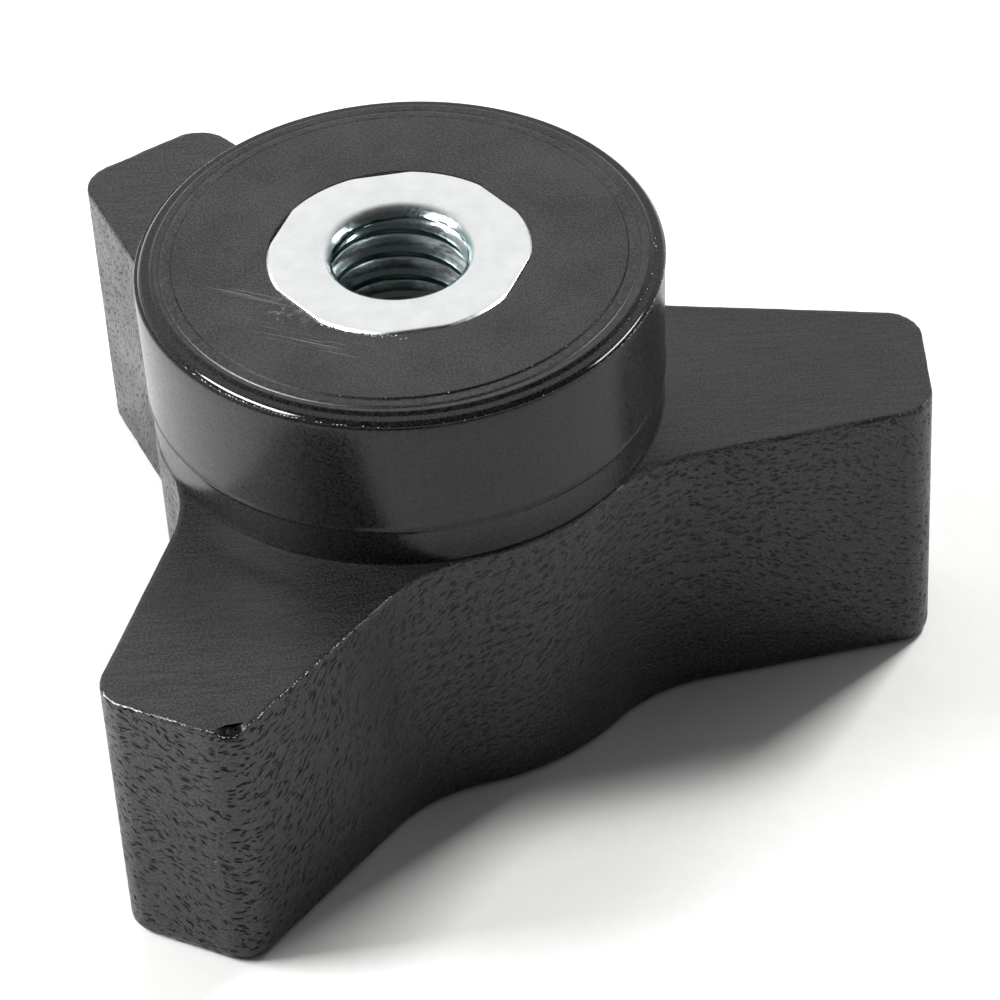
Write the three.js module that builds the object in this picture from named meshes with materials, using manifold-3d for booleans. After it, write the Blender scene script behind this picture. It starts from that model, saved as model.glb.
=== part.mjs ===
// Three-wing clamping nut: a one-piece plastic moulding with a hexagonal steel bush moulded into
// its hub. The bush carries the female thread. Nothing moves: the whole nut turns on its stud.
// Millimetres, +Z up. The origin is the centre of the closed face, and one wing lies along +X.
import * as THREE from "three";
import { mergeVertices } from "three/addons/utils/BufferGeometryUtils.js";
import Module from "manifold-3d";

// Wings
const WINGS = 3;
const TIP_RADIUS = 25.4; // axis to the flat end of a wing
const TIP_HALF_WIDTH = 3.8;
const SIDE_SLOPE = THREE.MathUtils.degToRad(10); // each side widens towards the hub
const CORNER_RADIUS = 2;
const ROOT_FILLET = 7.6; // concave, between a wing's side and the hub
const WING_THICKNESS = 15;
const DRAFT = Math.tan(THREE.MathUtils.degToRad(1.25)); // the walls lean in towards the closed face
const CLOSED_FACE_CHAMFER = 0.4;

// Hub
const HUB_HEIGHT = 9.1; // above the wings' flat upper face
const HUB_FOOT_RADIUS = 12.4;
const HUB_WAIST_RADIUS = 12.6;
const HUB_WAIST_HEIGHT = 2.4; // above the wings, where the flared foot ends
const HUB_TOP_RADIUS = 12.8; // the hub is widest just under its rim
const HUB_TOP_DROP = 0.9; // below the clamping face
const RIM_RADIUS = 12.7;
const RIM_DROP = 0.4;
const RIM_SHOULDER_RADIUS = 12.1;
const CLAMP_FACE_RADIUS = 11.5;
const SHOULDER_STEP = 0.15;
const ROOT_RADIUS = 12.55; // the moulding's round middle between the wings

// Steel bush
const BUSH_ACROSS_FLATS = 12.3;
const BUSH_FACE_RADIUS = 6.31; // where the corner chamfer meets the end face
const BUSH_CHAMFER = THREE.MathUtils.degToRad(45);
const BUSH_LENGTH = 17;
const BUSH_PROUD = 0.1; // above the clamping face
const BUSH_TURN = THREE.MathUtils.degToRad(35.4); // direction of one flat
const NECK_RADIUS = 5.3; // turned groove that the plastic grips
const NECK_WIDTH = 3;
const NECK_CENTRE = 7.5; // below the bush's end face
const SEAT_GAP = 0.15; // between the bush and the moulding

// Thread, 5/16-18 UNC, right-hand
const PITCH = 25.4 / 18;
const MAJOR_RADIUS = 25.4 * 5 / 32;
const MINOR_RADIUS = 3.265;
const THREAD_DEPTH = 13;
const DRILL_DEPTH = 14;
const DRILL_POINT = THREE.MathUtils.degToRad(59); // half of the drill's point angle
const CREST_PART = 1 / 4; // of the pitch, flat at the minor diameter
const ROOT_PART = 1 / 8; // of the pitch, flat at the major diameter

// Fineness of the facets
const ROUND_SIDES = 72;
const BORE_SIDES = 24;
const ROWS_PER_PITCH = 6;
const DRILL_SHARE = 0.97; // keeps the drilled hole's flats inside the thread's crests
const ARC_STEP = THREE.MathUtils.degToRad(6);

const clampFaceZ = WING_THICKNESS + HUB_HEIGHT;
const bushFaceZ = clampFaceZ + BUSH_PROUD;
const flat = BUSH_ACROSS_FLATS / 2;

const wasm = await Module();
wasm.setup();

// A closed three.js geometry as a solid that can be joined and cut.
function solid(geometry) {
  const bare = geometry.clone().deleteAttribute("normal").deleteAttribute("uv");
  const merged = mergeVertices(bare, 1e-4);
  return new wasm.Manifold(
    new wasm.Mesh({
      numProp: 3,
      vertProperties: merged.getAttribute("position").array,
      triVerts: new Uint32Array(merged.index.array),
    }),
  );
}

// A finished solid as a named mesh with its own material.
function mesh(name, shape, finish) {
  const { vertProperties, triVerts } = shape.getMesh();
  const geometry = new THREE.BufferGeometry();
  geometry.setAttribute("position", new THREE.BufferAttribute(vertProperties, 3));
  geometry.setIndex(new THREE.BufferAttribute(triVerts, 1));
  const material = new THREE.MeshStandardMaterial({ ...finish, flatShading: true });
  const made = new THREE.Mesh(geometry, material);
  made.name = name;
  return made;
}

// A solid of revolution about Z, from [radius, z] points that run from the bottom of the axis to its top.
function turned(profile, sides = ROUND_SIDES) {
  const points = profile.map(([r, z]) => new THREE.Vector2(r, z));
  return solid(new THREE.LatheGeometry(points, sides).rotateX(Math.PI / 2));
}

// Points of an arc about a centre, both ends included, always the same number for the same angles.
function arc(cx, cy, radius, from, to) {
  const steps = Math.max(2, Math.ceil(Math.abs(to - from) / ARC_STEP));
  return Array.from({ length: steps + 1 }, (_, i) => {
    const a = from + ((to - from) * i) / steps;
    return new THREE.Vector2(cx + radius * Math.cos(a), cy + radius * Math.sin(a));
  });
}

// Half of one wing's outline, from the middle of its end to the middle of the gap beside it.
// The outline is moved inwards by inset, which leaves the number of its points as it was.
function halfWing(inset) {
  const normal = new THREE.Vector2(Math.sin(SIDE_SLOPE), Math.cos(SIDE_SLOPE));
  const along = new THREE.Vector2(normal.y, -normal.x);
  const sideDistance = normal.x * TIP_RADIUS + normal.y * TIP_HALF_WIDTH - inset;
  const corner = CORNER_RADIUS - inset;
  const cornerX = TIP_RADIUS - inset - corner;
  const cornerY = (sideDistance - corner - normal.x * cornerX) / normal.y;
  const root = ROOT_RADIUS - inset;
  const fillet = ROOT_FILLET + inset;
  const reach = Math.sqrt((root + fillet) ** 2 - (sideDistance + fillet) ** 2);
  const centre = normal.clone().multiplyScalar(sideDistance + fillet).addScaledVector(along, reach);
  const towardsAxis = Math.atan2(-centre.y, -centre.x);
  const towardsSide = Math.atan2(-normal.y, -normal.x);
  return [
    ...arc(cornerX, cornerY, corner, 0, Math.PI / 2 - SIDE_SLOPE),
    ...arc(centre.x, centre.y, fillet, towardsSide, towardsAxis),
    ...arc(0, 0, root, Math.atan2(centre.y, centre.x), Math.PI / WINGS).slice(1),
  ];
}

// The whole outline of the wings and the moulding's round middle.
function outline(inset) {
  const half = halfWing(inset);
  const mirrored = half.map((p) => new THREE.Vector2(p.x, -p.y)).reverse();
  const wing = [...mirrored.slice(1), ...half];
  const centre = new THREE.Vector2();
  return Array.from({ length: WINGS }, (_, k) =>
    wing.map((p) => p.clone().rotateAround(centre, (k * 2 * Math.PI) / WINGS)),
  ).flat();
}

// A closed skin through outlines of equal point count, one above another.
function loft(levels) {
  const gaps = levels.length - 1;
  const start = levels[0].points;
  const options = { depth: gaps, steps: gaps, bevelEnabled: false };
  const geometry = new THREE.ExtrudeGeometry(new THREE.Shape(start), options);
  const place = geometry.getAttribute("position");
  const here = new THREE.Vector2();
  for (let v = 0; v < place.count; v += 1) {
    here.set(place.getX(v), place.getY(v));
    const distances = start.map((p) => p.distanceToSquared(here));
    const level = levels[Math.round(place.getZ(v))];
    const point = level.points[distances.indexOf(Math.min(...distances))];
    place.setXYZ(v, point.x, point.y, level.z);
  }
  return solid(geometry);
}

function wings() {
  const foot = WING_THICKNESS * DRAFT;
  return loft([
    { z: 0, points: outline(foot + CLOSED_FACE_CHAMFER) },
    { z: CLOSED_FACE_CHAMFER, points: outline(foot) },
    { z: WING_THICKNESS, points: outline(0) },
  ]);
}

function hub() {
  return turned([
    [0, WING_THICKNESS / 2],
    [HUB_FOOT_RADIUS, WING_THICKNESS / 2],
    [HUB_FOOT_RADIUS, WING_THICKNESS],
    [HUB_WAIST_RADIUS, WING_THICKNESS + HUB_WAIST_HEIGHT],
    [HUB_TOP_RADIUS, clampFaceZ - HUB_TOP_DROP],
    [RIM_RADIUS, clampFaceZ - RIM_DROP],
    [RIM_SHOULDER_RADIUS, clampFaceZ - SHOULDER_STEP],
    [CLAMP_FACE_RADIUS, clampFaceZ],
    [0, clampFaceZ],
  ]);
}

// A hexagonal bar whose upper end is chamfered down to a round face, grown by gap all over.
function hexBar(gap, top) {
  const inradius = flat + gap;
  const corner = inradius / Math.cos(Math.PI / 6);
  const length = BUSH_LENGTH + 2 * gap;
  const bar = new THREE.CylinderGeometry(corner, corner, length, 6).rotateX(Math.PI / 2);
  bar.rotateZ(BUSH_TURN + Math.PI / 6 - Math.PI / 2);
  bar.translate(0, 0, top - length / 2);
  const face = BUSH_FACE_RADIUS + gap;
  const drop = (corner + 1 - face) * Math.tan(BUSH_CHAMFER);
  const envelope = turned([
    [0, top - length],
    [corner + 1, top - length],
    [corner + 1, top - drop],
    [face, top],
    [0, top],
  ]);
  return solid(bar).intersect(envelope);
}

// The annular band round the bush that is turned away, or that the plastic fills.
function neckBand(innerRadius, width) {
  const outer = BUSH_ACROSS_FLATS;
  const middle = bushFaceZ - NECK_CENTRE;
  const band = turned([
    [0, middle - width / 2],
    [outer, middle - width / 2],
    [outer, middle + width / 2],
    [0, middle + width / 2],
  ]);
  const core = turned([
    [0, middle - width],
    [innerRadius, middle - width],
    [innerRadius, middle + width],
    [0, middle + width],
  ]);
  return band.subtract(core);
}

// Depth of the thread at a place along one pitch: 0 on the crest, 1 in the root.
function threadForm(phase) {
  const distance = Math.abs(phase - 0.5) * 2; // 0 in the root's middle, 1 on the crest's
  const flank = 1 - CREST_PART - ROOT_PART;
  return THREE.MathUtils.clamp((1 - CREST_PART - distance) / flank, 0, 1);
}

// The space that the tap clears: a rod whose radius follows the right-hand helix.
function tappedBore() {
  const top = bushFaceZ + PITCH;
  const length = THREAD_DEPTH + PITCH;
  const rows = Math.round((length / PITCH) * ROWS_PER_PITCH);
  const rod = new THREE.CylinderGeometry(MINOR_RADIUS, MINOR_RADIUS, length, BORE_SIDES, rows);
  rod.rotateX(Math.PI / 2).translate(0, 0, top - length / 2);
  const place = rod.getAttribute("position");
  for (let v = 0; v < place.count; v += 1) {
    const [x, y, z] = [place.getX(v), place.getY(v), place.getZ(v)];
    const radius = Math.hypot(x, y);
    if (radius > MINOR_RADIUS / 2) {
      const turns = Math.atan2(y, x) / (2 * Math.PI);
      const phase = THREE.MathUtils.euclideanModulo(z / PITCH - turns, 1);
      const grown = MINOR_RADIUS + (MAJOR_RADIUS - MINOR_RADIUS) * threadForm(phase);
      place.setXY(v, (x * grown) / radius, (y * grown) / radius);
    }
  }
  return solid(rod);
}

// The tapping drill's hole and the countersink at its mouth.
function drilledBore() {
  const drill = MINOR_RADIUS * DRILL_SHARE;
  const bottom = bushFaceZ - DRILL_DEPTH;
  const profile = [
    [0, bottom - drill / Math.tan(DRILL_POINT)],
    [drill, bottom],
    [drill, bushFaceZ + drill - MAJOR_RADIUS],
    [MAJOR_RADIUS + 1, bushFaceZ + 1],
    [0, bushFaceZ + 1],
  ];
  return turned(profile, BORE_SIDES);
}

function bush() {
  return hexBar(0, bushFaceZ)
    .subtract(neckBand(NECK_RADIUS, NECK_WIDTH))
    .subtract(drilledBore())
    .subtract(tappedBore());
}

function moulding() {
  const grip = neckBand(NECK_RADIUS + SEAT_GAP, NECK_WIDTH - 2 * SEAT_GAP);
  const seat = hexBar(SEAT_GAP, bushFaceZ + SEAT_GAP).subtract(grip);
  return wings().add(hub()).subtract(seat);
}

const nut = new THREE.Group();
nut.add(mesh("knob_moulding", moulding(), { color: 0x1d1d1f, roughness: 0.55, metalness: 0 }));
nut.add(mesh("threaded_bush", bush(), { color: 0xc9ccd0, roughness: 0.3, metalness: 1 }));

export default nut;
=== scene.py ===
"""Three-wing clamping nut: a black moulding with a zinc-plated hexagonal steel bush."""

import math

import bmesh
import bpy
import numpy as np
from mathutils import Matrix, Vector


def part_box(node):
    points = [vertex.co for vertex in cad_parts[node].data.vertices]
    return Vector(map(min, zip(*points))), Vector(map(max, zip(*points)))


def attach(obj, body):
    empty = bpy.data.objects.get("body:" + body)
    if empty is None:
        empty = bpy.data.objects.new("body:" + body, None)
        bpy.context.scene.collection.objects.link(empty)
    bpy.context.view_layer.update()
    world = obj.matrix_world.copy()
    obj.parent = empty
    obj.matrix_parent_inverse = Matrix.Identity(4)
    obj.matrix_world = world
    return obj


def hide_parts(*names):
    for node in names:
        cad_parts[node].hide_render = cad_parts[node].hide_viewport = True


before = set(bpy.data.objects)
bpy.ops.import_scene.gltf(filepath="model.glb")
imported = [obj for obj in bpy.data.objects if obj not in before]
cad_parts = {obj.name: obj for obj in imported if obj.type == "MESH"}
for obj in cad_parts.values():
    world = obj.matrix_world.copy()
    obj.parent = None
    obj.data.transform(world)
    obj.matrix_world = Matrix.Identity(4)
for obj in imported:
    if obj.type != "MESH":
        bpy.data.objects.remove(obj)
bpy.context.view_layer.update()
bush_low, bush_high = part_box("threaded_bush")
moulding_low, moulding_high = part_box("knob_moulding")
mm = 0.001


# ---------------------------------------------------------------------------------------------
# Threaded bush. A length of hexagonal steel bar, turned, chamfered, drilled and tapped 5/16-18,
# then zinc plated. It is laid in the mould before the plastic, which grips its turned groove.
# ---------------------------------------------------------------------------------------------
flat_distance = 6.15 * mm
bush_turn = math.radians(35.4)
bush_columns = 180
bush_face = bush_high.z
bush_end = bush_low.z
face_radius = 6.31 * mm
groove_radius = 5.3 * mm
groove_low = bush_face - 9.0 * mm
groove_high = bush_face - 6.0 * mm
edge_softness = 0.07 * mm

pitch = 25.4 / 18 * mm
thread_outer = 25.4 * 5 / 32 * mm
thread_inner = 3.265 * mm
thread_depth = 13 * mm
drill_depth = 14 * mm
drill_slope = math.tan(math.radians(59))
rows_per_turn = 16
mouth_radius = 4.05 * mm
mouth_depth = 0.75 * mm

zinc = bpy.data.materials.new("zinc_plated_steel")
zinc.use_nodes = True


def add_node(tree, kind, *inputs, **settings):
    """The first output of a new node, its sockets filled in order with values or links."""
    node = tree.nodes.new(kind)
    for name, value in settings.items():
        setattr(node, name, value)
    for place, value in enumerate(inputs):
        if isinstance(value, bpy.types.NodeSocket):
            tree.links.new(value, node.inputs[place])
        elif value is not None:
            node.inputs[place].default_value = value
    return node.outputs[0]


def sum_of(tree, a, b):
    return add_node(tree, "ShaderNodeMath", a, b, operation="ADD")


def difference(tree, a, b):
    return add_node(tree, "ShaderNodeMath", a, b, operation="SUBTRACT")


def product(tree, a, b):
    return add_node(tree, "ShaderNodeMath", a, b, operation="MULTIPLY")


def larger(tree, a, b):
    return add_node(tree, "ShaderNodeMath", a, b, operation="MAXIMUM")


def magnitude(tree, a):
    return add_node(tree, "ShaderNodeMath", a, operation="ABSOLUTE")


def axes_of(tree, vector):
    """The X, Y and Z of a vector, by name."""
    node = tree.nodes.new("ShaderNodeSeparateXYZ")
    tree.links.new(vector, node.inputs[0])
    return node.outputs


def length_of(tree, vector):
    node = tree.nodes.new("ShaderNodeVectorMath")
    node.operation = "LENGTH"
    tree.links.new(vector, node.inputs[0])
    return node.outputs["Value"]


def share(tree, value, low, high, to_low=0.0, to_high=1.0, smooth=True):
    """The value brought from low..high to to_low..to_high, held inside those ends."""
    kind = "SMOOTHSTEP" if smooth else "LINEAR"
    return add_node(
        tree, "ShaderNodeMapRange", value, low, high, to_low, to_high,
        interpolation_type=kind, clamp=True,
    )


def new_tree(name, sizes):
    """An empty geometry tree with a named input for each size, and those inputs by name."""
    tree = bpy.data.node_groups.new(name, "GeometryNodeTree")
    tree.interface.new_socket("Geometry", in_out="INPUT", socket_type="NodeSocketGeometry")
    for size, value in sizes.items():
        kind = "NodeSocketInt" if isinstance(value, int) else "NodeSocketFloat"
        tree.interface.new_socket(size, in_out="INPUT", socket_type=kind)
    tree.interface.new_socket("Geometry", in_out="OUTPUT", socket_type="NodeSocketGeometry")
    return tree, tree.nodes.new("NodeGroupInput").outputs


def close_tree(tree, geometry, finishes):
    """Ends a tree: the instances made real, then a finish for each (material, selection)."""
    geometry = add_node(tree, "GeometryNodeRealizeInstances", geometry)
    for finish, selection in finishes:
        node = tree.nodes.new("GeometryNodeSetMaterial")
        tree.links.new(geometry, node.inputs["Geometry"])
        node.inputs["Material"].default_value = finish
        if selection is not None:
            tree.links.new(selection, node.inputs["Selection"])
        geometry = node.outputs["Geometry"]
    end = tree.nodes.new("NodeGroupOutput")
    tree.links.new(geometry, end.inputs["Geometry"])


def grow(tree, name, mesh, sizes):
    """The plain mesh that a tree makes from this mesh with these sizes."""
    holder = bpy.data.objects.new(name, mesh)
    bpy.context.scene.collection.objects.link(holder)
    modifier = holder.modifiers.new("tree", "NODES")
    modifier.node_group = tree
    for item in tree.interface.items_tree:
        if item.in_out == "INPUT" and item.name in sizes:
            modifier[item.identifier] = sizes[item.name]
    depsgraph = bpy.context.evaluated_depsgraph_get()
    made = bpy.data.meshes.new_from_object(holder.evaluated_get(depsgraph))
    bpy.data.objects.remove(holder)
    made.name = name
    return made


# The tapped wall: a sheet whose rows follow the helix, wrapped round the axis. It takes over
# from the turned mouth 0.8 of the way in, where the mouth has fallen 0.4 of its depth.
mouth_way_in = 0.8
mouth_fallen = 0.4
tap_steps = round((thread_depth / pitch + 1) * rows_per_turn)
tap_top = bush_face - mouth_fallen * mouth_depth
tap_sizes = {
    "Columns": bush_columns + 1,
    "Rows": tap_steps + 1,
    "Start": bush_turn - math.pi / 6,
    "Pitch": pitch,
    "Outer radius": thread_outer,
    "Inner radius": thread_inner,
    "Mouth radius": mouth_radius - mouth_way_in * (mouth_radius - thread_inner),
    "Top": tap_top,
    "Depth": thread_depth - mouth_fallen * mouth_depth,
    "Height": tap_steps * pitch / rows_per_turn,
}
tap, size = new_tree("tapped_wall", tap_sizes)
sheet = add_node(tap, "GeometryNodeMeshGrid", 1.0, 1.0, size["Columns"], size["Rows"])
here = axes_of(tap, add_node(tap, "GeometryNodeInputPosition"))
turn = sum_of(tap, here["X"], 0.5)
angle = sum_of(tap, product(tap, turn, math.tau), size["Start"])
rise = product(tap, sum_of(tap, here["Y"], 0.5), size["Height"])
bottom = difference(tap, size["Top"], size["Depth"])
row_height = sum_of(tap, difference(tap, bottom, size["Pitch"]), rise)
height = sum_of(tap, row_height, product(tap, turn, size["Pitch"]))
held = larger(tap, height, bottom)
held = add_node(tap, "ShaderNodeMath", held, size["Top"], operation="MINIMUM")

# The cut is full depth over an eighth of the pitch and leaves a quarter of it as the crest.
# It dies out at both ends of the thread.
turns_up = add_node(tap, "ShaderNodeMath", height, size["Pitch"], operation="DIVIDE")
phase = difference(tap, turns_up, product(tap, angle, 1 / math.tau))
phase = add_node(tap, "ShaderNodeMath", phase, operation="FRACT")
root_half, crest_start = 0.0625, 0.375
off_root = magnitude(tap, sum_of(tap, phase, -0.5))
cut = share(tap, off_root, root_half, crest_start, 1.0, 0.0, smooth=False)
run_out = share(tap, held, bottom, sum_of(tap, bottom, size["Pitch"]))
lead_in = share(
    tap, held, sum_of(tap, size["Top"], -0.8 * mm), sum_of(tap, size["Top"], -0.1 * mm), 1.0, 0.0
)
cut = product(tap, product(tap, cut, run_out), lead_in)
deep = difference(tap, size["Outer radius"], size["Inner radius"])
wall_radius = sum_of(tap, product(tap, deep, cut), size["Inner radius"])
below = difference(tap, size["Top"], held)
sink_radius = difference(tap, size["Mouth radius"], below)
radius = add_node(
    tap, "ShaderNodeMath", wall_radius, sink_radius, 0.12 * mm, operation="SMOOTH_MAX"
)
at_top = add_node(tap, "ShaderNodeMath", below, 0.001 * mm, operation="LESS_THAN")
radius = add_node(
    tap, "ShaderNodeMix", at_top, None, radius, size["Mouth radius"], data_type="FLOAT"
)
place = add_node(
    tap, "ShaderNodeCombineXYZ",
    product(tap, radius, add_node(tap, "ShaderNodeMath", angle, operation="COSINE")),
    product(tap, radius, add_node(tap, "ShaderNodeMath", angle, operation="SINE")),
    held,
)
wrapped = add_node(tap, "GeometryNodeSetPosition", sheet, None, place)
closed = tap.nodes.new("GeometryNodeMergeByDistance")
tap.links.new(wrapped, closed.inputs["Geometry"])
closed.inputs["Distance"].default_value = 0.004 * mm
close_tree(tap, closed.outputs[0], [(zinc, None)])
tapped = grow(tap, "tapped_wall", bpy.data.meshes.new("empty"), tap_sizes)


def ring(angles, radii, z, centre=(0.0, 0.0)):
    """A closed ring of points about the axis."""
    radii = np.broadcast_to(radii, angles.shape)
    z = np.broadcast_to(z, angles.shape)
    return np.stack(
        [centre[0] + radii * np.cos(angles), centre[1] + radii * np.sin(angles), z], axis=1
    )


def join(body, lower, upper, finish):
    """Quads between two rings that have the same number of points."""
    for i in range(len(lower)):
        j = (i + 1) % len(lower)
        face = body.faces.new((lower[i], lower[j], upper[j], upper[i]))
        face.material_index = finish


def skin(body, rings, finish, close_first=False, close_last=False):
    """Joins each ring of points to the next, and closes an end with a fan."""
    rows = [[body.verts.new(p) for p in points] for points in rings]
    for lower, upper in zip(rows, rows[1:]):
        join(body, lower, upper, finish)
    for wanted, row in ((close_first, rows[0]), (close_last, rows[-1])):
        if wanted:
            centre = sum((v.co for v in row), Vector()) / len(row)
            pole = body.verts.new(centre)
            for i in range(len(row)):
                face = body.faces.new((row[i], row[(i + 1) % len(row)], pole))
                face.material_index = finish
    return rows


def finished(name, body, finishes, sharp):
    """The body as an object: doubles merged, faces outwards, edges over the angle kept sharp."""
    bmesh.ops.remove_doubles(body, verts=body.verts, dist=0.002 * mm)
    bmesh.ops.recalc_face_normals(body, faces=body.faces)
    mesh = bpy.data.meshes.new(name)
    body.to_mesh(mesh)
    body.free()
    for finish in finishes:
        mesh.materials.append(finish)
    mesh.shade_smooth()
    mesh.set_sharp_from_angle(angle=math.radians(sharp))
    piece = bpy.data.objects.new(name, mesh)
    bpy.context.scene.collection.objects.link(piece)
    return piece


bar_angles = bush_turn - math.pi / 6 + np.arange(bush_columns) * math.tau / bush_columns


def hexagon(angles, inradius):
    """Distance from the axis to the side of a hexagon of that inradius, in each direction."""
    off_flat = (angles - bush_turn + math.pi / 6) % (math.pi / 3) - math.pi / 6
    return inradius / np.cos(off_flat)


bar_side = hexagon(bar_angles, flat_distance)
bar_face = np.minimum(face_radius, bar_side)
chamfer_fall = bar_side - bar_face
bush_rings = [ring(bar_angles, r * bar_face, bush_end) for r in (0.3, 0.7, 0.98)]
bush_rings += [
    ring(bar_angles, bar_face, bush_end + 0.02 * mm),
    ring(bar_angles, bar_side - 0.02 * mm, bush_end + chamfer_fall + 0.06 * mm),
    ring(bar_angles, bar_side, bush_end + chamfer_fall + 0.15 * mm),
    ring(bar_angles, bar_side, groove_low - edge_softness),
    ring(bar_angles, bar_side - edge_softness, groove_low),
    ring(bar_angles, groove_radius + edge_softness, groove_low),
    ring(bar_angles, groove_radius, groove_low + edge_softness),
    ring(bar_angles, groove_radius, groove_high - edge_softness),
    ring(bar_angles, groove_radius + edge_softness, groove_high),
    ring(bar_angles, bar_side - edge_softness, groove_high),
    ring(bar_angles, bar_side, groove_high + edge_softness),
    ring(bar_angles, bar_side, bush_face - chamfer_fall - 0.15 * mm),
    ring(bar_angles, bar_side - 0.02 * mm, bush_face - chamfer_fall - 0.06 * mm),
    ring(bar_angles, bar_face, bush_face - 0.045 * mm),
    ring(bar_angles, bar_face - 0.03 * mm, bush_face - 0.012 * mm),
    ring(bar_angles, bar_face - 0.08 * mm, bush_face),
    ring(bar_angles, bar_face - 0.2 * mm, bush_face),
    ring(bar_angles, (bar_face + mouth_radius) / 2, bush_face),
]
for part in (0.0, 0.15, 0.3, 0.45, 0.6, 0.7, 0.8):
    fall = mouth_depth * (1 - math.sqrt(1 - part**2))
    bush_rings.append(
        ring(bar_angles, mouth_radius - part * (mouth_radius - thread_inner), bush_face - fall)
    )
drill_end = bush_face - drill_depth
tapped_end = bush_face - thread_depth
bush_body = bmesh.new()
skin(bush_body, bush_rings, 0, close_first=True)
skin(
    bush_body,
    [
        ring(bar_angles, thread_inner, tapped_end),
        ring(bar_angles, thread_inner, drill_end),
        ring(bar_angles, thread_inner * 0.5, drill_end - thread_inner * 0.5 / drill_slope),
        ring(bar_angles, 0.02 * mm, drill_end - thread_inner / drill_slope),
    ],
    0,
    close_last=True,
)
bush_body.from_mesh(tapped)
bush = finished("threaded_hex_bush", bush_body, [zinc], 32)

# Dull bright zinc on the faced end, smoother where the drill and the tap have cut. Inside the bore
# the colour is painted darker, as painted shade of the deep hole.
tree = zinc.node_tree
metal = tree.nodes["Principled BSDF"]
metal.inputs["Metallic"].default_value = 1.0
spot = tree.nodes.new("ShaderNodeTexCoord").outputs["Object"]
across = axes_of(tree, spot)
off_axis = length_of(
    tree, add_node(tree, "ShaderNodeCombineXYZ", across["X"], across["Y"], 0.0)
)
painted_bore_shade = share(tree, off_axis, 3.4 * mm, 3.7 * mm, 1.0, 0.0)
in_mouth = share(tree, off_axis, 3.95 * mm, 4.2 * mm, 1.0, 0.0)
cloud = add_node(tree, "ShaderNodeTexNoise", spot, None, 900.0, 5.0, 0.65)
grit = add_node(tree, "ShaderNodeTexNoise", spot, None, 5200.0, 3.0, 0.7)
lathe_rings = add_node(
    tree, "ShaderNodeTexNoise",
    add_node(
        tree, "ShaderNodeCombineXYZ", product(tree, off_axis, 9000.0),
        product(tree, across["Z"], 3000.0), 0.0,
    ),
    None, 1.0, 2.0, 0.5,
)
face_colour = add_node(tree, "ShaderNodeValToRGB", cloud)
ramp = tree.nodes["Color Ramp"].color_ramp
ramp.elements[0].position = 0.3
ramp.elements[0].color = (0.78, 0.81, 0.825, 1)
ramp.elements[1].position = 0.7
ramp.elements[1].color = (0.89, 0.91, 0.92, 1)


def two_tone(tree, value, first, second):
    """A colour between two, by the value. Either may be a plain colour or a link."""
    mixed = tree.nodes.new("ShaderNodeMix")
    mixed.data_type = "RGBA"
    tree.links.new(value, mixed.inputs["Factor"])
    for side, colour in (("A", first), ("B", second)):
        if isinstance(colour, bpy.types.NodeSocket):
            tree.links.new(colour, mixed.inputs[side])
        else:
            mixed.inputs[side].default_value = (*colour, 1)
    return mixed.outputs["Result"]


def bump(tree, shader, height, depth, strength):
    node = tree.nodes.new("ShaderNodeBump")
    node.inputs["Strength"].default_value = strength
    node.inputs["Distance"].default_value = depth
    tree.links.new(height, node.inputs["Height"])
    tree.links.new(node.outputs["Normal"], shader.inputs["Normal"])


# Painted shade: the colour falls to a dark teal inside the bore.
tree.links.new(
    two_tone(tree, painted_bore_shade, face_colour, (0.24, 0.31, 0.31)), metal.inputs["Base Color"]
)
dull = sum_of(tree, share(tree, grit, 0.25, 0.75, 0.0, 0.12), 0.32)
tree.links.new(sum_of(tree, dull, product(tree, in_mouth, -0.2)), metal.inputs["Roughness"])
bump(tree, metal, sum_of(tree, product(tree, grit, 0.6), lathe_rings), 0.012 * mm, 0.35)

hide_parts("threaded_bush")
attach(bush, "root")


# ---------------------------------------------------------------------------------------------
# Moulding. One shot of black glass-filled plastic: three drafted wings with a leather-grained
# wall, flat machined upper faces, and a smooth round hub that stands up round the steel bush.
# ---------------------------------------------------------------------------------------------
wing_top = 15.0 * mm
wing_foot = moulding_low.z
clamp_face = moulding_high.z
tip_radius = 25.4 * mm
tip_half_width = 3.8 * mm
side_slope = math.radians(10)
corner_radius = 2.0 * mm
root_fillet = 7.6 * mm
root_radius = 12.55 * mm
wall_draft = math.tan(math.radians(1.25))
foot_rounding = 0.5 * mm
hub_foot = 12.4 * mm
wall_rows = 66

sanded = bpy.data.materials.new("black_plastic_machined_flat")
glossy = bpy.data.materials.new("black_plastic_smooth_hub")
grained = bpy.data.materials.new("black_plastic_leather_grain")
faced = bpy.data.materials.new("black_plastic_clamping_face")
for plastic in (sanded, glossy, grained, faced):
    plastic.use_nodes = True
GRAINED, SANDED, GLOSSY, FACED = 0, 1, 2, 3


def arc(centre, radius, start, end, steps):
    """Points along an arc, the first left out."""
    a = start + (end - start) * np.arange(1, steps + 1) / steps
    return np.stack([centre[0] + radius * np.cos(a), centre[1] + radius * np.sin(a)], axis=1)


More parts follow.
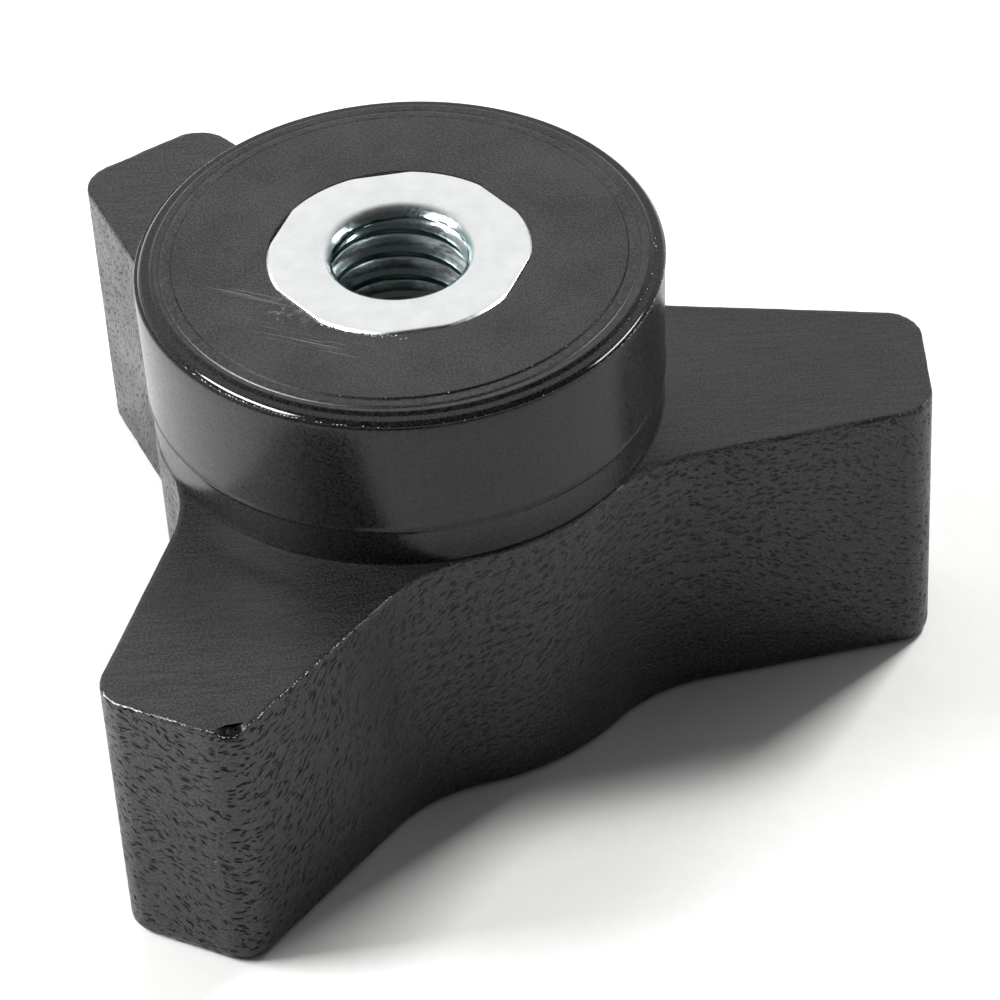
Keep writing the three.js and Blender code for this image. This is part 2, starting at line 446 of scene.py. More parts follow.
def half_wing(inset):
    """Half a wing's outline moved inwards, from the middle of its end to the middle of a gap."""
    normal = np.array([math.sin(side_slope), math.cos(side_slope)])
    along = np.array([normal[1], -normal[0]])
    side = normal @ np.array([tip_radius, tip_half_width]) - inset
    corner = corner_radius - inset
    corner_x = tip_radius - inset - corner
    corner_y = (side - corner - normal[0] * corner_x) / normal[1]
    root = root_radius - inset
    fillet = root_fillet + inset
    reach = math.sqrt((root + fillet) ** 2 - (side + fillet) ** 2)
    middle = normal * (side + fillet) + along * reach
    to_axis = math.atan2(-middle[1], -middle[0])
    to_side = math.atan2(-normal[1], -normal[0])
    end = np.linspace([tip_radius - inset, 0], [tip_radius - inset, corner_y], 7)
    turn = arc((corner_x, corner_y), corner, 0, math.pi / 2 - side_slope, 24)
    blend = arc(middle, fillet, to_side, to_axis, 34)
    first = middle + fillet * np.array([math.cos(to_side), math.sin(to_side)])
    straight = np.linspace(turn[-1], first, 37)[1:]
    root_start = math.atan2(middle[1], middle[0])
    return np.concatenate(
        [end, turn, straight, blend, arc((0, 0), root, root_start, math.pi / 3, 16)]
    )


def outline(inset):
    """The outline of all three wings, from the middle of one gap round to the same place."""
    half = half_wing(inset)
    mirrored = (half * [1, -1])[::-1]
    wing = np.concatenate([mirrored[1:], half[1:]])
    turned = []
    for k in range(3):
        a = k * math.tau / 3 + math.tau / 3
        c, s = math.cos(a), math.sin(a)
        turned.append(wing @ np.array([[c, s], [-s, c]]))
    return np.concatenate(turned)


def level(inset, z, least=0.0):
    """The outline as points in space, kept at least that far from the axis."""
    points = outline(inset)
    far = np.hypot(points[:, 0], points[:, 1])
    points = points * np.maximum(1, least / far)[:, None]
    return np.concatenate([points, np.full((len(points), 1), z)], axis=1)


def zip_rings(body, outer, inner, finish):
    """Triangles between two rings round the axis that have different numbers of points."""
    def turned_angle(v):
        return math.atan2(v.co.y, v.co.x) % math.tau

    outer = sorted(outer, key=turned_angle)
    inner = sorted(inner, key=turned_angle)
    a, b = [turned_angle(v) for v in outer], [turned_angle(v) for v in inner]
    i = j = 0
    while i < len(outer) or j < len(inner):
        next_a = a[i + 1] if i + 1 < len(outer) else a[0] + math.tau if i < len(outer) else 9e9
        next_b = b[j + 1] if j + 1 < len(inner) else b[0] + math.tau if j < len(inner) else 9e9
        p, q = outer[i % len(outer)], inner[j % len(inner)]
        if next_a <= next_b:
            face = body.faces.new((p, outer[(i + 1) % len(outer)], q))
            i += 1
        else:
            face = body.faces.new((p, inner[(j + 1) % len(inner)], q))
            j += 1
        face.material_index = finish


# Walls, from the closed face's rounded edge up to the machined upper faces.
foot_inset = (wing_top - wing_foot) * wall_draft
wall_levels = [level(foot_inset + 1.2 * mm, wing_foot)]
wall_levels.append(level(foot_inset + foot_rounding + 0.12 * mm, wing_foot))
for turn in range(6):
    a = math.radians(90) * turn / 5
    wall_levels.append(
        level(
            foot_inset + foot_rounding * (1 - math.sin(a)),
            wing_foot + foot_rounding * (1 - math.cos(a)),
        )
    )
top_of_wall = wing_top - 0.16 * mm
for row in range(1, wall_rows + 1):
    z = foot_rounding + (top_of_wall - foot_rounding) * row / wall_rows
    wall_levels.append(level((wing_top - z) * wall_draft, wing_foot + z))
rng = np.random.default_rng(7)
count = len(wall_levels[0])
waves = sum(
    math.sqrt(1 / k) * np.cos(np.arange(count) / count * math.tau * k + rng.uniform(0, 6.3))
    for k in range(6, 240, 2)
)
ragged = waves / np.abs(waves).max()
least = hub_foot + 0.05 * mm
edge = level(0.05 * mm, wing_top - 0.05 * mm, least)
edge_in = level(0.16 * mm, wing_top, least)
edge[:, 2] += 0.015 * mm * ragged
edge[:, :2] *= (1 + 0.0016 * np.roll(ragged, 97))[:, None]
edge_in[:, :2] *= (1 + 0.0022 * np.roll(ragged, 51))[:, None]

# A chip is knocked out of one wing's corner.
wing_corner = np.array([-9.5, -23.25]) * mm
inwards = np.array([0.379, 0.925])
chip_reach = 0.62 * mm
chip_width = 0.4 * mm
chip_drop = 0.36 * mm
bite = np.exp(-((np.hypot(*(edge[:, :2] - wing_corner).T) / chip_reach) ** 4))
edge_in[:, :2] += (chip_width * bite)[:, None] * inwards
edge[:, 2] -= chip_drop * bite
for row, sunk in zip(wall_levels[-4:], (0.1, 0.2, 0.29, 0.35)):
    row[:, 2] -= sunk * mm * bite
wall_levels.append(edge)
face_levels = [edge_in, level(0.32 * mm, wing_top, least)]
body = bmesh.new()
wall_ring = skin(body, wall_levels, GRAINED)
face_ring = skin(body, face_levels, SANDED)
join(body, wall_ring[-1], face_ring[0], GRAINED)

# Closed face.
hub_columns = 360
hub_angles = np.radians(0.4) + np.arange(hub_columns) * math.tau / hub_columns
centre_rings = skin(
    body,
    [ring(hub_angles[::4], r * mm, wing_foot) for r in (10.5, 5.0, 1.0)],
    GRAINED,
    close_last=True,
)
zip_rings(body, wall_ring[0], centre_rings[0], GRAINED)

# Hub: side, rim and clamping face as turned profiles, in millimetres from the axis and
# from the clamping face. The rim was formed by a separate ring of the mould, a little off centre.
side_centre = (-0.06 * mm, -0.01 * mm)
rim_centre = (0.07 * mm, -0.02 * mm)
face_centre = (0.0, -0.1 * mm)
side_profile = [
    (12.47, -9.10), (12.43, -9.06), (12.41, -9.0), (12.42, -8.9), (12.46, -8.2), (12.55, -7.45),
    (12.575, -7.15), (12.60, -6.98), (12.655, -6.9), (12.655, -6.84), (12.615, -6.76),
    (12.62, -6.6), (12.65, -5.6), (12.69, -4.4), (12.73, -3.2), (12.77, -2.0),
    (12.785, -1.5), (12.79, -1.15), (12.785, -0.7), (12.775, -0.58), (12.745, -0.53),
]
rim_profile = [
    (12.72, -0.52), (12.725, -0.48), (12.71, -0.43), (12.57, -0.29), (12.53, -0.26),
    (12.49, -0.25), (12.40, -0.245), (12.22, -0.24), (12.17, -0.235), (12.14, -0.22),
    (12.02, -0.10), (11.99, -0.09), (11.95, -0.09),
]
face_profile = [
    (11.70, -0.10), (11.63, -0.115), (11.60, -0.13), (11.575, -0.10), (11.53, -0.065),
    (11.45, -0.06), (11.20, -0.06), (11.05, -0.065), (11.015, -0.085), (10.99, -0.09),
    (10.975, -0.07), (10.965, -0.015), (10.945, 0.0), (10.90, 0.0), (10.70, 0.0),
    (9.0, 0.0), (7.6, 0.0), (6.75, 0.0), (6.55, 0.0),
]


def turned_rings(profile, centre):
    return [ring(hub_angles, r * mm, clamp_face + z * mm, centre) for r, z in profile]


side_rings = turned_rings(side_profile, side_centre)
side_rings[0] = ring(hub_angles, hub_foot + 0.08 * mm, wing_top)
hub_side = skin(body, side_rings, GLOSSY)
zip_rings(body, face_ring[-1], hub_side[0], SANDED)
rim = skin(body, turned_rings(rim_profile, rim_centre), GLOSSY)
clamp = skin(body, turned_rings(face_profile, face_centre), FACED)

# Seat of the bush: a round mouth sealed on the bush's chamfer, then the hexagon round the bar.
# On one side the plastic stands a hair off the bush.
seat_gap = 0.04 * mm
open_mouth = 6.37 * mm
sealed_mouth = 6.325 * mm
seat_side = hexagon(hub_angles, flat_distance + seat_gap)
open_side = np.cos(hub_angles - math.radians(125))
sealed = np.minimum(sealed_mouth, hexagon(hub_angles, flat_distance - 0.005 * mm))
mouth = np.where(open_side > 0.2, open_mouth, sealed)
under_mouth = np.maximum(mouth, np.minimum(seat_side, mouth + 0.3 * mm))
seat_rings = [
    ring(hub_angles, mouth + 0.12 * mm, clamp_face),
    ring(hub_angles, mouth + 0.03 * mm, clamp_face - 0.02 * mm),
    ring(hub_angles, mouth, clamp_face - 0.09 * mm),
    ring(hub_angles, under_mouth, clamp_face - 0.42 * mm),
    ring(hub_angles, np.maximum(seat_side, mouth - 0.1 * mm), clamp_face - 0.85 * mm),
    ring(hub_angles, seat_side, clamp_face - 1.1 * mm),
    ring(hub_angles, seat_side, groove_high + seat_gap),
    ring(hub_angles, groove_radius + seat_gap, groove_high - seat_gap),
    ring(hub_angles, groove_radius + seat_gap, groove_low + seat_gap),
    ring(hub_angles, seat_side, groove_low - seat_gap),
    ring(hub_angles, seat_side, bush_end - seat_gap),
    ring(hub_angles, 3.0 * mm, bush_end - seat_gap),
]
seat = skin(body, seat_rings, FACED, close_last=True)
join(body, hub_side[-1], rim[0], GLOSSY)
join(body, rim[-1], clamp[0], FACED)
join(body, clamp[-1], seat[0], FACED)
bmesh.ops.recalc_face_normals(body, faces=body.faces)
knob_mesh = bpy.data.meshes.new("knob_moulding_plain")
body.verts.ensure_lookup_table()

# Where each place of the wall lies along its outline and above the foot, in millimetres.
loop_points = wall_levels[-3][:, :2]
steps = np.linalg.norm(np.roll(loop_points, -1, axis=0) - loop_points, axis=1)
runs = np.concatenate([[0], np.cumsum(steps)]) / mm
wrap = body.loops.layers.uv.new("wrap")
column = {v: i for row in wall_ring for i, v in enumerate(row)}
level_of = {v: k for k, row in enumerate(wall_ring) for v in row}
for face in body.faces:
    on_wall = all(v in column for v in face.verts)
    columns = [column.get(v, 0) for v in face.verts]
    wraps_round = on_wall and max(columns) - min(columns) > count / 2
    for corner in face.loops:
        v = corner.vert
        if on_wall and level_of[v] >= 2:
            i = column[v]
            corner[wrap].uv = (runs[count if wraps_round and i == 0 else i], v.co.z / mm)
        else:
            corner[wrap].uv = (v.co.x / mm, v.co.y / mm)
body.to_mesh(knob_mesh)
body.free()
zones = np.zeros(len(knob_mesh.polygons), np.int32)
knob_mesh.polygons.foreach_get("material_index", zones)
knob_mesh.polygons.foreach_set("material_index", zones * 0)
knob_mesh.attributes.new("zone", "INT", "FACE").data.foreach_set("value", zones)
is_wall = np.zeros(len(knob_mesh.vertices), np.float32)
run_of = np.zeros((len(knob_mesh.vertices), 3), np.float32)
wall_count = len(wall_levels) * count
is_wall[count * 2 : wall_count - count] = 1.0
run_of[:wall_count, 0] = np.tile(runs[:-1], len(wall_levels))
run_of[:wall_count, 1] = np.concatenate([r[:, 2] for r in wall_levels]) / mm
knob_mesh.attributes.new("is_wall", "FLOAT", "POINT").data.foreach_set("value", is_wall)
knob_mesh.attributes.new("run_and_rise", "FLOAT_VECTOR", "POINT").data.foreach_set(
    "vector", run_of.ravel()
)


def wrinkles(tree, place, slant, seed, size, long, wide):
    """Short creases, one in each cell, lying along the slant."""
    moved = add_node(
        tree, "ShaderNodeVectorMath", place, (seed * 17.3, seed * 9.1, 0.0), operation="ADD"
    )
    cells = tree.nodes.new("ShaderNodeTexVoronoi")
    cells.voronoi_dimensions = "2D"
    tree.links.new(moved, cells.inputs["Vector"])
    cells.inputs["Scale"].default_value = 1 / size
    away = add_node(
        tree, "ShaderNodeVectorMath", moved, cells.outputs["Position"], operation="SUBTRACT"
    )
    lie = tree.nodes.new("ShaderNodeVectorRotate")
    lie.rotation_type = "Z_AXIS"
    tree.links.new(away, lie.inputs["Vector"])
    tree.links.new(slant, lie.inputs["Angle"])
    squeezed = add_node(
        tree, "ShaderNodeVectorMath", lie.outputs[0], (1 / long, 1 / wide, 0.0),
        operation="MULTIPLY",
    )
    strength = share(tree, axes_of(tree, cells.outputs["Color"])["X"], 0.1, 0.75)
    return product(tree, share(tree, length_of(tree, squeezed), 0.25, 1.0, 1.0, 0.0), strength)


def grain(tree, place):
    """The depth of the leather grain at a place of the wall, 0 on top and 1 in a crease."""
    period = runs[-1] / 3
    along = axes_of(tree, place)["X"]
    part = product(tree, sum_of(tree, along, -period / 2), 1 / period)
    part = add_node(tree, "ShaderNodeMath", part, operation="FRACT")
    rising = share(tree, part, 0.0, 0.17, math.radians(38), math.radians(-52), smooth=False)
    falling = share(tree, part, 0.17, 1.0, 0.0, math.radians(90), smooth=False)
    sway = add_node(tree, "ShaderNodeTexNoise", place, None, 0.22, 1.0, 0.5)
    sway = share(tree, sway, 0.25, 0.75, math.radians(-35), math.radians(35), smooth=False)
    slant = sum_of(tree, sum_of(tree, rising, falling), sway)
    wander = tree.nodes.new("ShaderNodeTexNoise")
    tree.links.new(place, wander.inputs["Vector"])
    wander.inputs["Scale"].default_value = 1.3
    shift = add_node(
        tree, "ShaderNodeVectorMath", wander.outputs["Color"], (-0.5, -0.5, -0.5),
        operation="ADD",
    )
    shift = add_node(
        tree, "ShaderNodeVectorMath", shift, (0.5, 0.5, 0.0), operation="MULTIPLY"
    )
    bent = add_node(tree, "ShaderNodeVectorMath", place, shift, operation="ADD")
    creases = wrinkles(tree, bent, slant, 1, 0.75, 0.32, 0.1)
    for seed, cell, long, wide in ((2, 0.6, 0.25, 0.085), (3, 0.5, 0.19, 0.07)):
        more = wrinkles(tree, bent, slant, seed, cell, long, wide)
        creases = larger(tree, creases, more)
    return creases


def stored(tree, name, kind):
    """What the mesh holds at each place under that name."""
    node = tree.nodes.new("GeometryNodeInputNamedAttribute")
    node.data_type = kind
    node.inputs["Name"].default_value = name
    return node.outputs["Attribute"]


def scaled(tree, vector, amount):
    node = tree.nodes.new("ShaderNodeVectorMath")
    node.operation = "SCALE"
    tree.links.new(vector, node.inputs[0])
    tree.links.new(amount, node.inputs["Scale"])
    return node.outputs[0]


grain_sizes = {"Crease depth": 0.035 * mm, "Swell": 0.035 * mm}
coat, size = new_tree("leather_grain", grain_sizes)
where = stored(coat, "run_and_rise", "FLOAT_VECTOR")
swell = add_node(coat, "ShaderNodeTexNoise", where, None, 0.9, 2.0, 0.55)
swell = product(coat, sum_of(coat, swell, -0.5), size["Swell"])
sink = product(coat, grain(coat, where), size["Crease depth"])
lift = product(coat, difference(coat, swell, sink), stored(coat, "is_wall", "FLOAT"))
push = scaled(coat, add_node(coat, "GeometryNodeInputNormal"), lift)
pushed = add_node(coat, "GeometryNodeSetPosition", size["Geometry"], None, None, push)
zone = stored(coat, "zone", "INT")
finishes = []
for number, finish in ((GRAINED, grained), (SANDED, sanded), (GLOSSY, glossy), (FACED, faced)):
    match = add_node(
        coat, "FunctionNodeCompare", None, None, zone, number,
        data_type="INT", operation="EQUAL",
    )
    finishes.append((finish, match))
close_tree(coat, pushed, finishes)
knob = bpy.data.objects.new(
    "knob_moulding_body", grow(coat, "knob_moulding_body", knob_mesh, grain_sizes)
)
bpy.context.scene.collection.objects.link(knob)
knob.data.shade_smooth()
knob.data.set_sharp_from_angle(angle=math.radians(40))


# Leather-grained walls: creases cut by the same rule as the mesh, with a finer pebble on top. The
# creases are also painted dark, as painted shade in the grooves.
def plastic_shader(material, rough):
    """The material's tree, its shader set to black plastic, and the place on the object."""
    tree = material.node_tree
    shader = tree.nodes["Principled BSDF"]
    shader.inputs["Roughness"].default_value = rough
    shader.inputs["IOR"].default_value = 1.5
    coordinates = tree.nodes.new("ShaderNodeTexCoord")
    return tree, shader, coordinates.outputs["Object"]


deep_black = (0.001, 0.001, 0.0015)
tree, shader, spot = plastic_shader(grained, 0.5)
wrap_map = tree.nodes.new("ShaderNodeUVMap")
wrap_map.uv_map = "wrap"
wrapped_place = wrap_map.outputs["UV"]
run_along = axes_of(tree, wrapped_place)["X"]
from_strongest_creases = magnitude(tree, sum_of(tree, run_along, -runs[-1] / 2))
creases = product(tree, grain(tree, wrapped_place), share(tree, from_strongest_creases, 5.0, 15.0, 1.4, 0.6))
pebble = add_node(tree, "ShaderNodeTexNoise", wrapped_place, None, 6.5, 3.0, 0.65)
patch = add_node(tree, "ShaderNodeTexNoise", wrapped_place, None, 0.35, 2.0, 0.5)
plain = two_tone(tree, share(tree, pebble, 0.4, 0.6), deep_black, (0.034, 0.034, 0.035))
# Painted shade: the creases darken the colour to near black, strongest on one wing and fainter on
# the others.
tree.links.new(
    two_tone(tree, creases, plain, (0.003, 0.003, 0.003)), shader.inputs["Base Color"]
)
shader.inputs["Specular IOR Level"].default_value = 0.35
# Painted shade: the chip is darkened by its distance from the corner, standing for the shadow
# under its torn lip.
off_chip = add_node(
    tree, "ShaderNodeVectorMath", spot,
    (-wing_corner[0], -wing_corner[1], -wing_top + 0.18 * mm), operation="ADD",
)
painted_chip_shade = share(tree, length_of(tree, off_chip), 0.45 * mm, chip_reach, 2.0, 0.0)
shade = larger(tree, creases, painted_chip_shade)
# Painted shade: the specular tint falls to 0.3 in the creases and in the chip.
tree.links.new(
    two_tone(tree, shade, (1.0, 1.0, 1.0), (0.3, 0.3, 0.3)), shader.inputs["Specular Tint"]
)
rough = sum_of(tree, share(tree, patch, 0.3, 0.7, 0.32, 0.42), product(tree, creases, 0.3))
tree.links.new(rough, shader.inputs["Roughness"])
relief = sum_of(tree, product(tree, creases, -1.0), product(tree, pebble, 0.55))
bump(tree, shader, relief, 0.05 * mm, 0.9)

# Flat faces: fly-cut and rubbed down, so they show fine lines one way and a dull mottle.
tree, shader, spot = plastic_shader(sanded, 0.45)
stretched = add_node(
    tree, "ShaderNodeMapping", spot, None, (0, 0, math.radians(4)), (700.0, 8000.0, 700.0)
)
lines = add_node(tree, "ShaderNodeTexNoise", stretched, None, 1.0, 4.0, 0.6)
mottle = add_node(tree, "ShaderNodeTexNoise", spot, None, 8200.0, 3.0, 0.65)
streaks = sum_of(tree, product(tree, lines, 0.25), product(tree, mottle, 0.75))
tree.links.new(
    two_tone(tree, share(tree, streaks, 0.42, 0.58), deep_black, (0.027, 0.027, 0.028)),
    shader.inputs["Base Color"],
)
tree.links.new(share(tree, mottle, 0.3, 0.7, 0.36, 0.46), shader.inputs["Roughness"])
bump(tree, shader, sum_of(tree, lines, product(tree, mottle, 0.4)), 0.012 * mm, 0.6)

# Clamping face: the same plastic, dull and mottled, rubbed by the work it was clamped against.
tree, shader, spot = plastic_shader(faced, 0.42)
mottle = add_node(tree, "ShaderNodeTexNoise", spot, None, 8800.0, 3.0, 0.65)
cloud = add_node(tree, "ShaderNodeTexNoise", spot, None, 240.0, 3.0, 0.6)
patches = sum_of(tree, product(tree, mottle, 0.75), product(tree, cloud, 0.25))
tone = share(tree, patches, 0.42, 0.58)
scored = axes_of(
    tree,
    add_node(
        tree, "ShaderNodeMapping", spot, (2.1 * mm, 7.7 * mm, 0), (0, 0, math.radians(25)),
        None, vector_type="POINT",
    ),
)


def window(tree, value, middle, flat, gone):
    """1 near the middle, falling to 0 between those distances from it."""
    return share(tree, magnitude(tree, sum_of(tree, value, -middle)), flat, gone, 1.0, 0.0)


fine = add_node(
    tree, "ShaderNodeTexNoise",
    add_node(
        tree, "ShaderNodeCombineXYZ", product(tree, scored["X"], 170.0),
        product(tree, scored["Y"], 9500.0), 0.0,
    ),
    None, 1.0, 2.0, 0.5,
)
main_marks = product(
    tree, window(tree, scored["X"], 0.0, 2.6 * mm, 4.2 * mm),
    window(tree, scored["Y"], 0.1 * mm, 0.25 * mm, 0.75 * mm),
)
side_marks = product(
    tree, window(tree, scored["X"], -3.2 * mm, 1.4 * mm, 2.6 * mm),
    window(tree, scored["Y"], 2.5 * mm, 0.1 * mm, 0.5 * mm),
)
marks = larger(tree, main_marks, side_marks)
scratch = product(tree, share(tree, fine, 0.56, 0.64), marks)
smudge_spot = add_node(
    tree, "ShaderNodeVectorMath", spot, (5.5 * mm, 3.9 * mm, -clamp_face), operation="ADD"
)
smudge = product(
    tree, share(tree, length_of(tree, smudge_spot), 0.4 * mm, 1.7 * mm, 1.0, 0.0),
    share(tree, add_node(tree, "ShaderNodeTexNoise", spot, None, 2300.0, 4.0, 0.7), 0.5, 0.66),
)
scratch = larger(tree, scratch, smudge)
base = two_tone(tree, tone, deep_black, (0.024, 0.024, 0.0255))
tree.links.new(
    two_tone(tree, scratch, base, (0.10, 0.10, 0.105)), shader.inputs["Base Color"]
)
tree.links.new(share(tree, mottle, 0.3, 0.7, 0.36, 0.46), shader.inputs["Roughness"])
bump(tree, shader, sum_of(tree, mottle, product(tree, scratch, 0.8)), 0.012 * mm, 0.6)

# Hub side and rim: straight from a polished part of the mould, with faint turning lines.
tree, shader, spot = plastic_shader(glossy, 0.22)
shader.inputs["Specular IOR Level"].default_value = 0.3
hoops = add_node(
    tree, "ShaderNodeTexNoise",
    add_node(tree, "ShaderNodeMapping", spot, None, None, (90.0, 90.0, 5200.0)),
    None, 1.0, 3.0, 0.55,
)
smear = add_node(tree, "ShaderNodeTexNoise", spot, None, 7000.0, 3.0, 0.65)
tree.links.new(
    two_tone(tree, share(tree, smear, 0.3, 0.7), deep_black, (0.017, 0.017, 0.018)),
    shader.inputs["Base Color"],
)
rise = axes_of(tree, spot)["Z"]
# The rim is glossier than the side. Near its foot the side's specular tint is lower, as painted
# shade: the dim reflection of the dark wing faces.
on_side = share(tree, rise, clamp_face - 0.6 * mm, clamp_face - 0.48 * mm, 1.0, 0.35)
tree.links.new(
    product(tree, share(tree, smear, 0.3, 0.7, 0.24, 0.34), on_side), shader.inputs["Roughness"]
)
up_the_side = share(tree, rise, wing_top + 0.1 * mm, wing_top + 2.3 * mm)
tree.links.new(
    two_tone(tree, up_the_side, (0.45, 0.45, 0.45), (1.0, 1.0, 1.0)),
    shader.inputs["Specular Tint"],
)
bump(tree, shader, hoops, 0.006 * mm, 0.5)

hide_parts("knob_moulding")
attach(knob, "root")


# ---------------------------------------------------------------------------------------------
# Torn flash. Slivers and crumbs of plastic still hanging on the moulding where
# its flat faces were machined, round the rim where the mould parts met, and beside the bush.
# Their near-white colour is partly stress-whitening and partly painted highlight, standing
# for the glints their torn edges catch.
# ---------------------------------------------------------------------------------------------
torn = bpy.data.materials.new("black_plastic_whitened_and_painted_glints")
torn.use_nodes = True
tree, shader, spot = plastic_shader(torn, 0.5)
# Painted highlight: the crumbs are coloured close to white, partly for the glints on their edges.
patchy = add_node(tree, "ShaderNodeTexNoise", spot, None, 7000.0, 3.0, 0.6)
tree.links.new(
    two_tone(tree, share(tree, patchy, 0.38, 0.62), (0.22, 0.22, 0.22), (0.82, 0.82, 0.81)),
    shader.inputs["Base Color"],
)
bump(tree, shader, patchy, 0.01 * mm, 0.6)


def chance(tree, kind, low, high, seed):
    """A random vector, number or yes/no for each point; for a yes/no, high is the share of yes."""
    first_in, out = {"FLOAT_VECTOR": (0, 0), "FLOAT": (2, 1), "BOOLEAN": (5, 3)}[kind]
    node = tree.nodes.new("FunctionNodeRandomValue")
    node.data_type = kind
    for place, value in ((first_in, low), (first_in + 1, high), (8, seed)):
        if isinstance(value, bpy.types.NodeSocket):
            tree.links.new(value, node.inputs[place])
        elif value is not None:
            node.inputs[place].default_value = value
    return node.outputs[out]


flash_sizes = {
    "Spacing": 0.1 * mm, "Kept": 0.9, "Length": 0.28 * mm, "Thickness": 0.06 * mm,
    "Scatter": 0.02 * mm, "Seed": 3,
}
flash, size = new_tree("torn_flash", flash_sizes)
line = add_node(flash, "GeometryNodeMeshToCurve", size["Geometry"])
dots = flash.nodes.new("GeometryNodeCurveToPoints")
dots.mode = "LENGTH"
flash.links.new(line, dots.inputs["Curve"])
flash.links.new(size["Spacing"], dots.inputs["Length"])
stray = chance(flash, "FLOAT_VECTOR", (-1, -1, -1), (1, 1, 1), size["Seed"])
strewn = add_node(
    flash, "GeometryNodeSetPosition", dots.outputs["Points"], None, None,
    scaled(flash, stray, size["Scatter"]),
)
tilt_seed, bulk_seed, stretch_seed, kept_seed = (
    sum_of(flash, size["Seed"], step) for step in (1.0, 2.0, 3.0, 4.0)
)
tilt = add_node(
    flash, "FunctionNodeEulerToRotation",
    chance(flash, "FLOAT_VECTOR", (-0.4, -0.4, -3), (0.4, 0.4, 3), tilt_seed),
)
lie = add_node(
    flash, "FunctionNodeRotateRotation", dots.outputs["Rotation"], tilt, rotation_space="LOCAL"
)
thick = product(flash, size["Thickness"], chance(flash, "FLOAT", 0.35, 1.0, bulk_seed))
long = product(flash, size["Length"], chance(flash, "FLOAT", 0.3, 1.0, stretch_seed))
sown = flash.nodes.new("GeometryNodeInstanceOnPoints")
for socket, source in (
    ("Points", strewn),
    ("Selection", chance(flash, "BOOLEAN", None, size["Kept"], kept_seed)),
    ("Instance", add_node(flash, "GeometryNodeMeshIcoSphere", 0.5, 1)),
    ("Rotation", lie),
    ("Scale", add_node(flash, "ShaderNodeCombineXYZ", thick, thick, long)),
):
    flash.links.new(source, sown.inputs[socket])
close_tree(flash, sown.outputs[0], [(torn, None)])


def on_circle(radius, drop, start, end, centre, waver=0.0):
    """Points of an arc about the axis, that far below the clamping face, angles in degrees."""
    a = np.radians(np.arange(start, end, 1.0))
    r = radius * mm + waver * mm * np.where(np.arange(len(a)) % 4 < 2, 1, -1)
    return ring(a, r, clamp_face - drop * mm, centre)


wing_edge = edge[count // 3 : 2 * count // 3] + np.array([0, 0, 0.02 * mm])

# Each line of crumbs: where it runs, then spacing, share kept, length, thickness and scatter.
torn_places = [
    (wing_edge[98:113], 0.09, 1.0, 0.34, 0.085, 0.015),
    (wing_edge[115:118], 0.1, 1.0, 0.3, 0.09, 0.02),
    (wing_edge[118:126], 0.16, 0.8, 0.2, 0.045, 0.03),
    (wing_edge[126:138], 0.14, 0.8, 0.22, 0.05, 0.03),
    (wing_edge[138:152], 0.16, 0.75, 0.22, 0.045, 0.03),
    (wing_edge[152:170], 0.17, 0.8, 0.16, 0.065, 0.03),
    (wing_edge[170:184], 0.3, 0.4, 0.12, 0.04, 0.03),
    (on_circle(12.71, 0.42, -38, 3, rim_centre), 0.15, 0.75, 0.22, 0.05, 0.03),
    (on_circle(12.2, 0.2, -42, 0, rim_centre), 0.3, 0.5, 0.18, 0.035, 0.05),
    (on_circle(12.71, 0.42, -146, -100, rim_centre), 0.2, 0.6, 0.24, 0.05, 0.02),
    (on_circle(12.71, 0.44, -100, -40, rim_centre), 0.5, 0.5, 0.12, 0.04, 0.03),
    (on_circle(10.97, 0.04, -112, -15, face_centre), 0.42, 0.5, 0.09, 0.05, 0.02),
    (on_circle(6.44, 0.0, -128, -93, (0, 0), 0.07), 0.07, 0.85, 0.2, 0.06, 0.03),
    (on_circle(6.7, 0.0, -104, -86, (0, 0), 0.12), 0.16, 0.5, 0.2, 0.035, 0.12),
]
torn_body = bmesh.new()
for seed, (points, spacing, kept, long, thick, scatter) in enumerate(torn_places):
    path = bpy.data.meshes.new("torn_place")
    steps_along = [(i, i + 1) for i in range(len(points) - 1)]
    path.from_pydata([tuple(p) for p in points], steps_along, [])
    torn_body.from_mesh(
        grow(flash, "torn_flash", path, {
            "Spacing": spacing * mm, "Kept": kept, "Length": long * mm, "Thickness": thick * mm,
            "Scatter": scatter * mm, "Seed": 11 + 7 * seed,
        })
    )
flash_piece = finished("torn_flash_slivers", torn_body, [torn], 60)

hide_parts("knob_moulding")
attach(flash_piece, "root")


# ---------------------------------------------------------------------------------------------
# Floor, light and camera: a white table top, a lamp high behind the object, one over its left
# side, two strips that only show as reflections, and a pale room.
# ---------------------------------------------------------------------------------------------
floor_half = 0.6
floor_mesh = bpy.data.meshes.new("table_top")
corners = [(x * floor_half, y * floor_half, 0) for x, y in ((-1, -1), (1, -1), (1, 1), (-1, 1))]
floor_mesh.from_pydata(corners, [], [(0, 1, 2, 3)])
floor = bpy.data.objects.new("table_top", floor_mesh)
floor.location.z = wing_foot - 0.02 * mm
bpy.context.scene.collection.objects.link(floor)
white_top = bpy.data.materials.new("white_table_top")
white_top.use_nodes = True
tree = white_top.node_tree
table = tree.nodes["Principled BSDF"]
table.inputs["Roughness"].default_value = 0.7
place = tree.nodes.new("ShaderNodeTexCoord").outputs["Object"]
fibre = add_node(tree, "ShaderNodeTexNoise", place, None, 900.0, 4.0, 0.6)
tree.links.new(
    two_tone(tree, fibre, (0.80, 0.80, 0.79), (0.86, 0.86, 0.85)), table.inputs["Base Color"]
)
floor_mesh.materials.append(white_top)


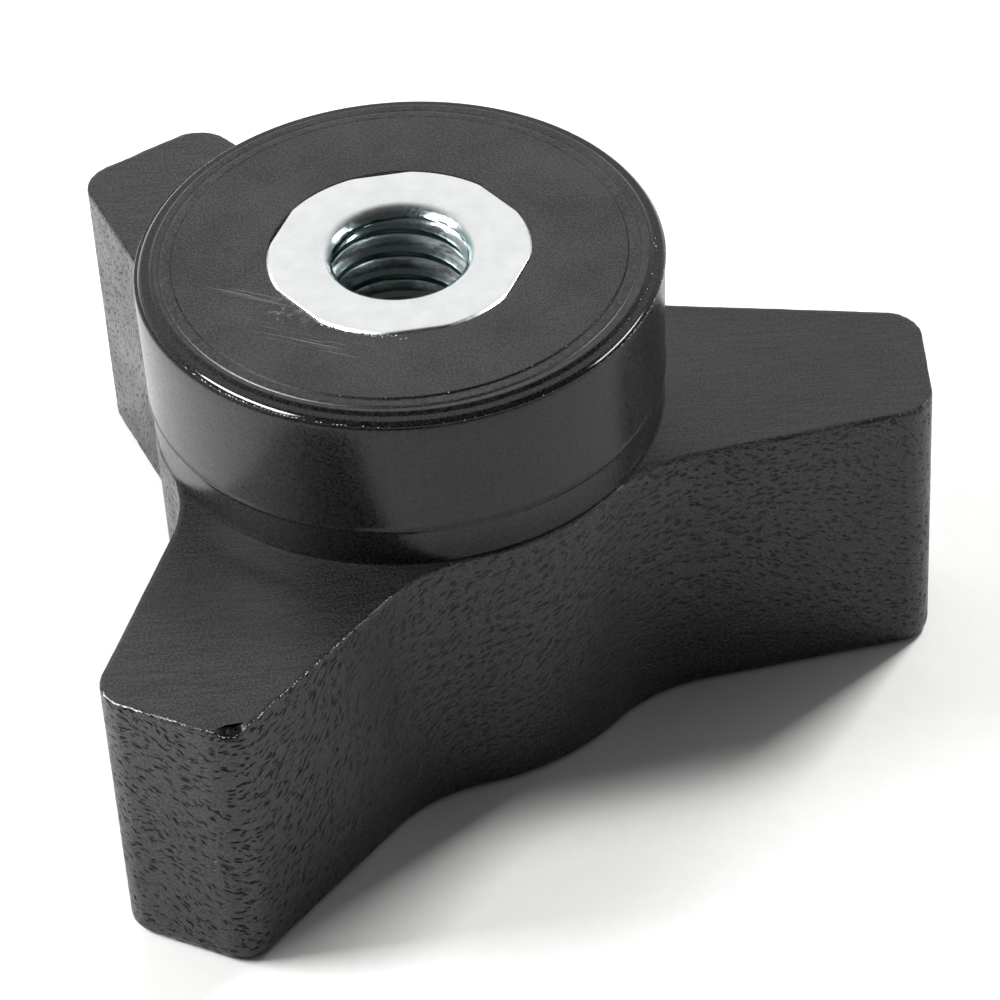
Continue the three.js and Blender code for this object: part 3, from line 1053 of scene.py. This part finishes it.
def lamp(name, towards, away, size, power, mirrored=True, lights=True):
    """A soft rectangular lamp that faces the hub."""
    data = bpy.data.lights.new(name, "AREA")
    data.shape = "RECTANGLE"
    data.size, data.size_y = size
    data.energy = power
    made = bpy.data.objects.new(name, data)
    made.visible_glossy = mirrored
    made.visible_diffuse = lights
    made.location = Vector(towards).normalized() * away
    made.rotation_euler = (-Vector(towards)).to_track_quat("-Z", "Y").to_euler()
    bpy.context.scene.collection.objects.link(made)


lamp("high_lamp_behind", (0.46, 0.45, 0.80), 0.7, (0.15, 0.15), 5.0, mirrored=False)
lamp("lamp_over_left_side", (-0.15, 0.0, 0.11), 0.19, (0.08, 0.08), 0.52, mirrored=False)
lamp("left_strip", (-0.75, -0.2, 0.6), 0.4, (0.26, 0.08), 4.2, lights=False)
lamp("right_strip", (0.9, 0.1, 0.5), 0.4, (0.2, 0.05), 1.0, lights=False)

room = bpy.data.worlds.new("pale_room")
room.use_nodes = True
bpy.context.scene.world = room
tree = room.node_tree
sky = tree.nodes["Background"]
way = tree.nodes.new("ShaderNodeTexCoord").outputs["Generated"]
lean = tree.nodes.new("ShaderNodeVectorMath")
lean.operation = "DOT_PRODUCT"
tree.links.new(way, lean.inputs[0])
lean.inputs[1].default_value = Vector((-0.15, 1.0, 0.0)).normalized()
tree.links.new(
    share(tree, lean.outputs["Value"], -0.15, 0.7, 0.1, 0.97), sky.inputs["Strength"]
)
sky.inputs["Color"].default_value = (1.0, 0.985, 0.975, 1)

look_at = Vector((3.90, -8.17, 15.0)) * mm
azimuth = math.radians(-1.357)
elevation = math.radians(39.85)
roll = math.radians(-3.53)
distance_back = 311.3 * mm
sensor_width = 36
focal_share = 6.4954
back = Vector(
    (
        math.sin(azimuth) * math.cos(elevation),
        -math.cos(azimuth) * math.cos(elevation),
        math.sin(elevation),
    )
)
level_right = Vector((math.cos(azimuth), math.sin(azimuth), 0))
level_up = back.cross(level_right)
right = level_right * math.cos(roll) + level_up * math.sin(roll)
up = level_up * math.cos(roll) - level_right * math.sin(roll)
camera_data = bpy.data.cameras.new("camera")
camera_data.sensor_width = sensor_width
camera_data.lens = sensor_width * focal_share
camera_data.clip_start = 0.01
camera_data.clip_end = 10
camera = bpy.data.objects.new("camera", camera_data)
bpy.context.scene.collection.objects.link(camera)
camera.matrix_world = Matrix.Translation(look_at + back * distance_back) @ Matrix(
    (
        (right.x, up.x, back.x, 0),
        (right.y, up.y, back.y, 0),
        (right.z, up.z, back.z, 0),
        (0, 0, 0, 1),
    )
)
bpy.context.scene.camera = camera
bpy.context.scene.view_settings.view_transform = "Standard"
